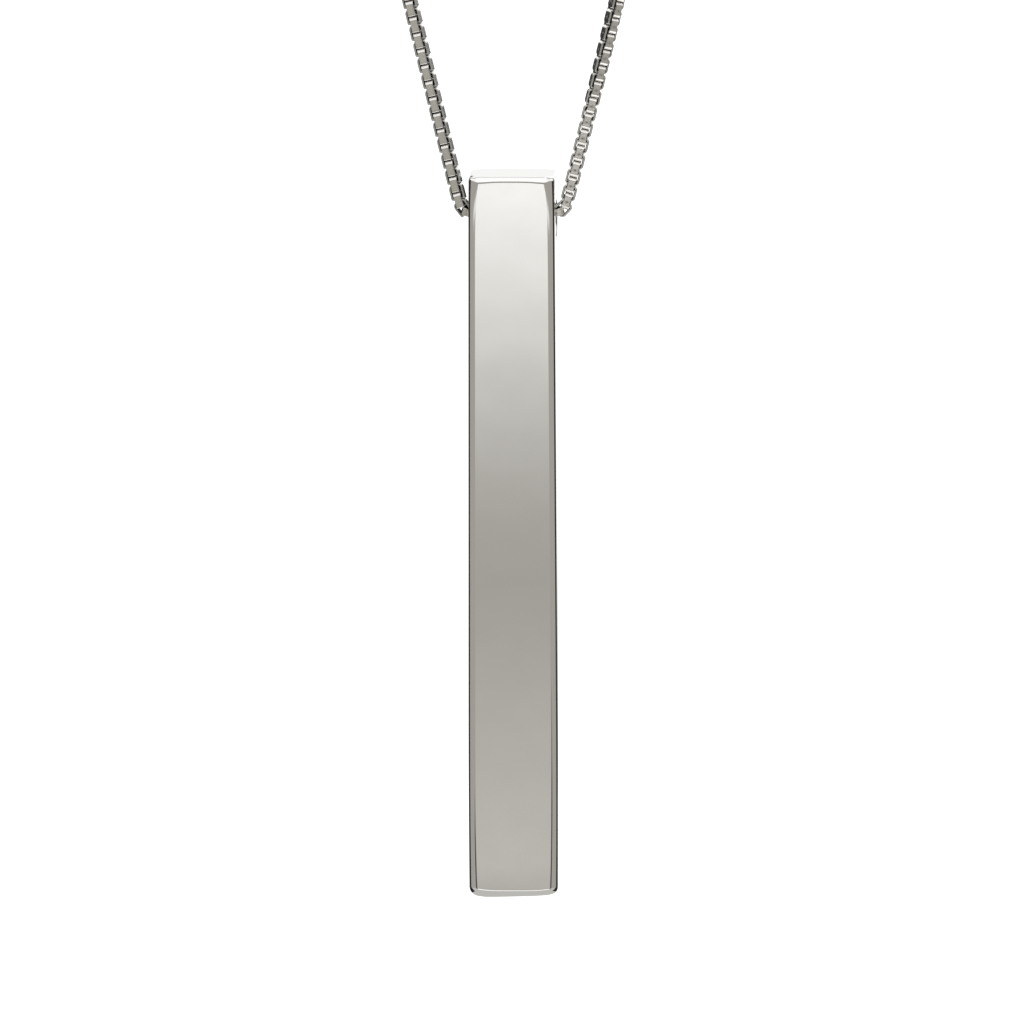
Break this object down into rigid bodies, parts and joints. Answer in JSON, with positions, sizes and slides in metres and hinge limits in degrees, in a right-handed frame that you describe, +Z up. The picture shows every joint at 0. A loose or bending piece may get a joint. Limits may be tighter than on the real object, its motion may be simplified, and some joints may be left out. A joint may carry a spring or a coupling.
{
  "type": "bar pendant necklace",
  "caption": "Polished square bar pendant hanging by a cross hole from a fine box chain, worn as a long V and closed by a plain clasp at the nape.",
  "frame": {"origin": "the middle of the clasp, where the necklace hangs on the nape of the neck", "axes": "+Z up, the wearer faces -Y, +X is the wearer's left"},
  "size_m": [0.1016, 0.072, 0.2607],
  "materials": {
    "polished_silver": "hand-polished mirror silver",
    "chain_silver": "polished silver strip with fine draw lines",
    "clasp_silver": "polished silver"
  },
  "bodies": {
    "necklace": {"chain_left": "chain_silver", "chain_right": "chain_silver", "clasp": "clasp_silver"},
    "pendant": {"bar": "polished_silver"}
  },
  "joints": [
    {"name": "bar_swing", "type": "hinge", "parent": "necklace", "child": "pendant", "pos_m": [0, -0.068, -0.2215], "axis": [1, 0, 0], "range_deg": [-90, 90]}
  ]
}
